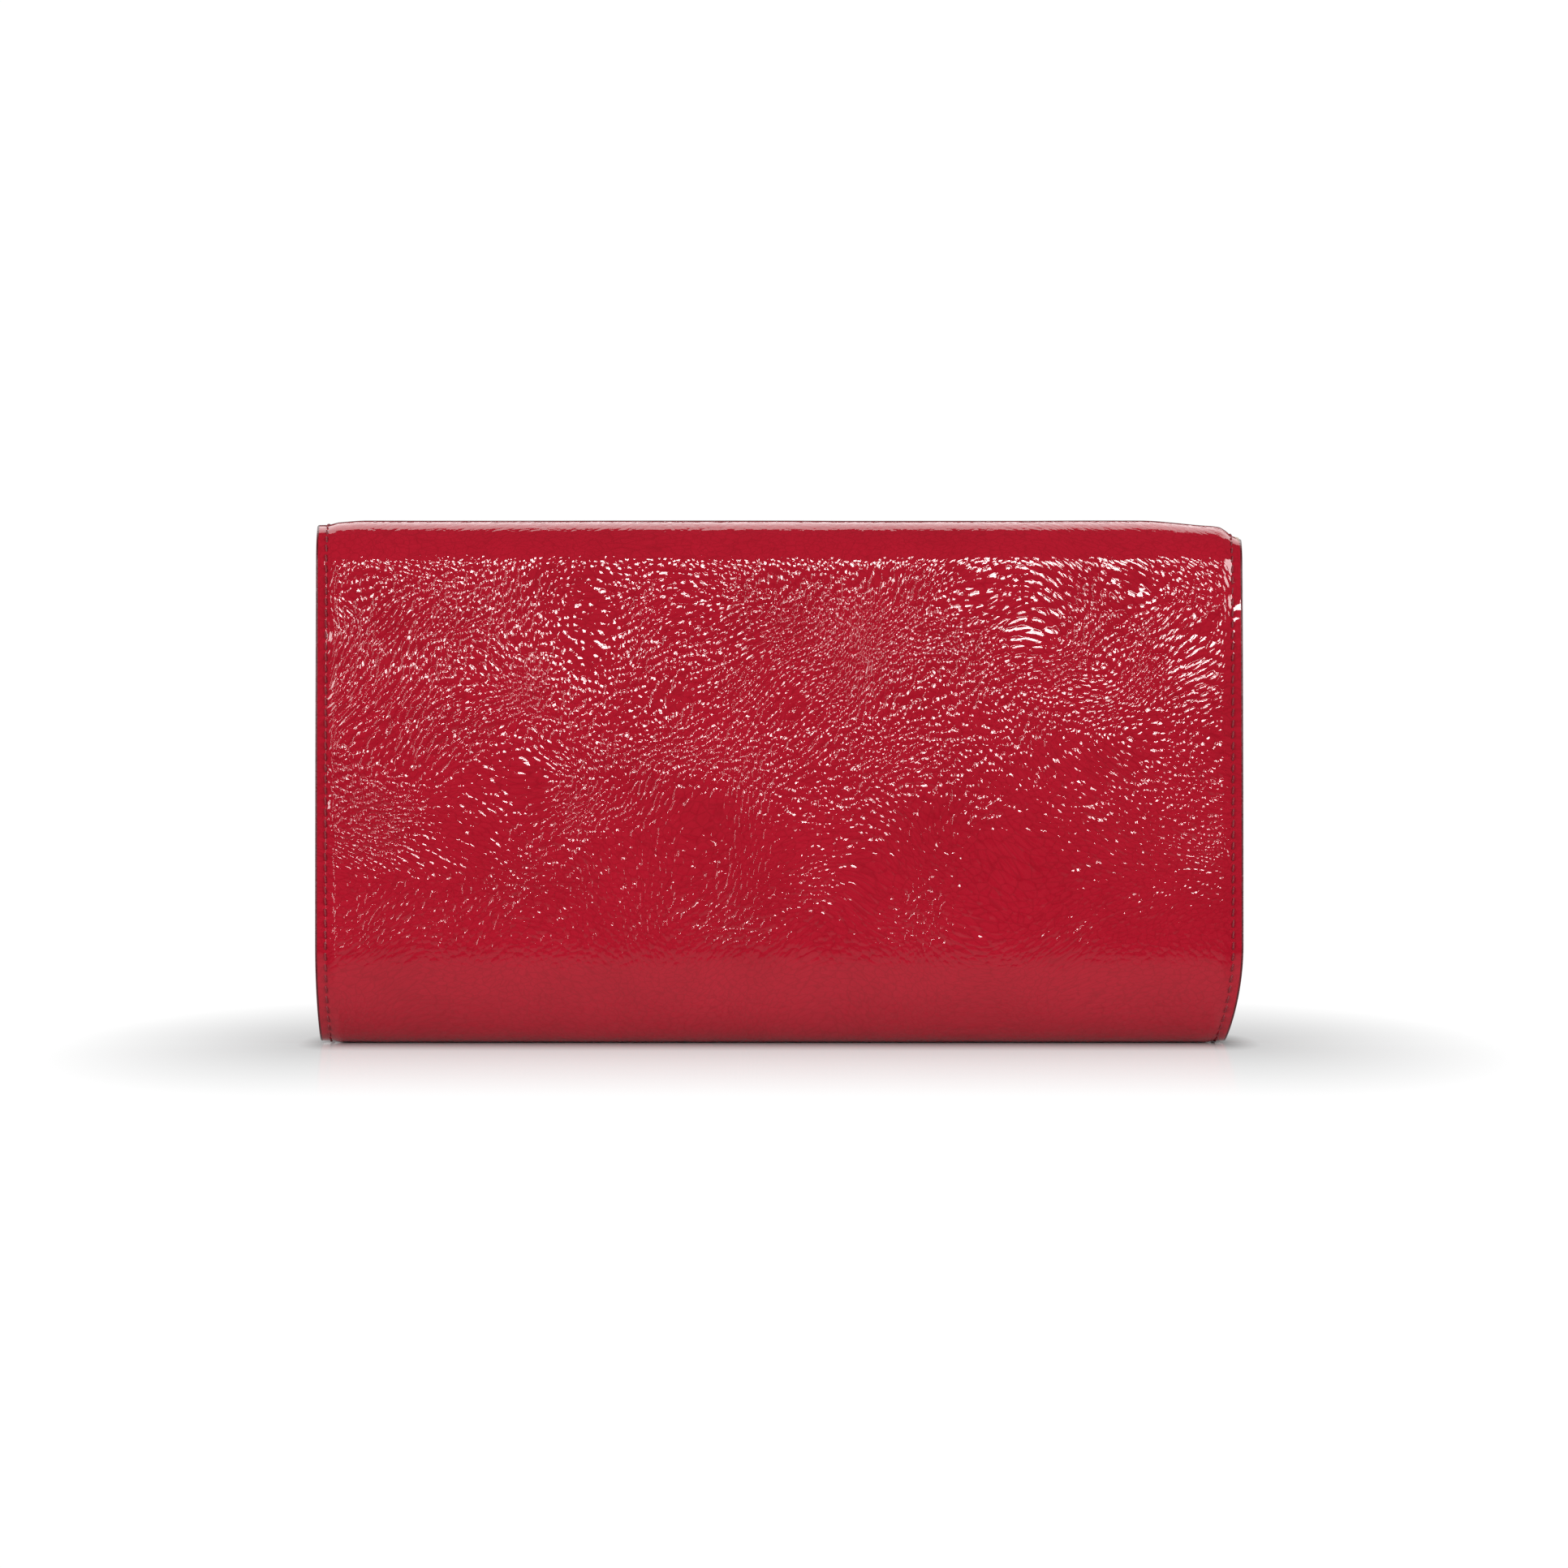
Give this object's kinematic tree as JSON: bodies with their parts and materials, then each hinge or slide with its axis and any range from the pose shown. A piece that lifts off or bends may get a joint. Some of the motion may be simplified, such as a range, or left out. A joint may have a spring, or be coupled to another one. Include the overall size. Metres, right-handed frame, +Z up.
{
  "type": "clutch purse",
  "caption": "Flap clutch purse in glossy crinkled patent leather, with a fold-over flap, V-fold side gussets, a magnetic snap and an inner slip pocket.",
  "frame": {"origin": "middle of the bounding box at the level of the base that the purse stands on", "axes": "+X along the width, to the right seen from behind; +Y from the back towards the flap; +Z up"},
  "size_m": [0.25, 0.05, 0.14],
  "materials": {
    "patent_leather": "gloss",
    "lining_cloth": "matte",
    "stiffener_board": "matte",
    "snap_metal": "polished",
    "magnet": "satin"
  },
  "bodies": {
    "purse_body": {"back_base_leather": "patent_leather", "back_board": "stiffener_board", "base_board": "stiffener_board", "back_base_lining": "lining_cloth", "slip_pocket": "lining_cloth", "pocket_trim": "patent_leather", "gusset_left_rear": "patent_leather", "gusset_right_rear": "patent_leather", "gusset_lining_left_rear": "lining_cloth", "gusset_lining_right_rear": "lining_cloth"},
    "front_wall": {"front_wall_leather": "patent_leather", "front_wall_board": "stiffener_board", "front_wall_lining": "lining_cloth", "gusset_left_front": "patent_leather", "gusset_right_front": "patent_leather", "gusset_lining_left_front": "lining_cloth", "gusset_lining_right_front": "lining_cloth", "snap_socket": "snap_metal", "snap_magnet": "magnet", "snap_socket_cap": "snap_metal"},
    "flap_top": {"flap_top_leather": "patent_leather", "flap_top_lining": "lining_cloth"},
    "flap_front": {"flap_front_leather": "patent_leather", "flap_front_board": "stiffener_board", "flap_front_lining": "lining_cloth", "snap_stud": "snap_metal", "snap_stud_cap": "snap_metal"}
  },
  "joints": [
    {"name": "flap_back_fold", "type": "hinge", "parent": "purse_body", "child": "flap_top", "pos_m": [0, -0.0167, 0.1367], "axis": [1, 0, 0], "range_deg": [0, 180]},
    {"name": "flap_front_fold", "type": "hinge", "parent": "flap_top", "child": "flap_front", "pos_m": [0, 0.0147, 0.1367], "axis": [1, 0, 0], "range_deg": [0, 90]},
    {"name": "mouth_spread", "type": "hinge", "parent": "purse_body", "child": "front_wall", "pos_m": [0, 0.0147, 0.0078], "axis": [-1, 0, 0], "range_deg": [0, 6]}
  ],
  "couplings": [
    {"joint": "mouth_spread", "follows": "flap_back_fold", "ratio": 0.03333}
  ]
}
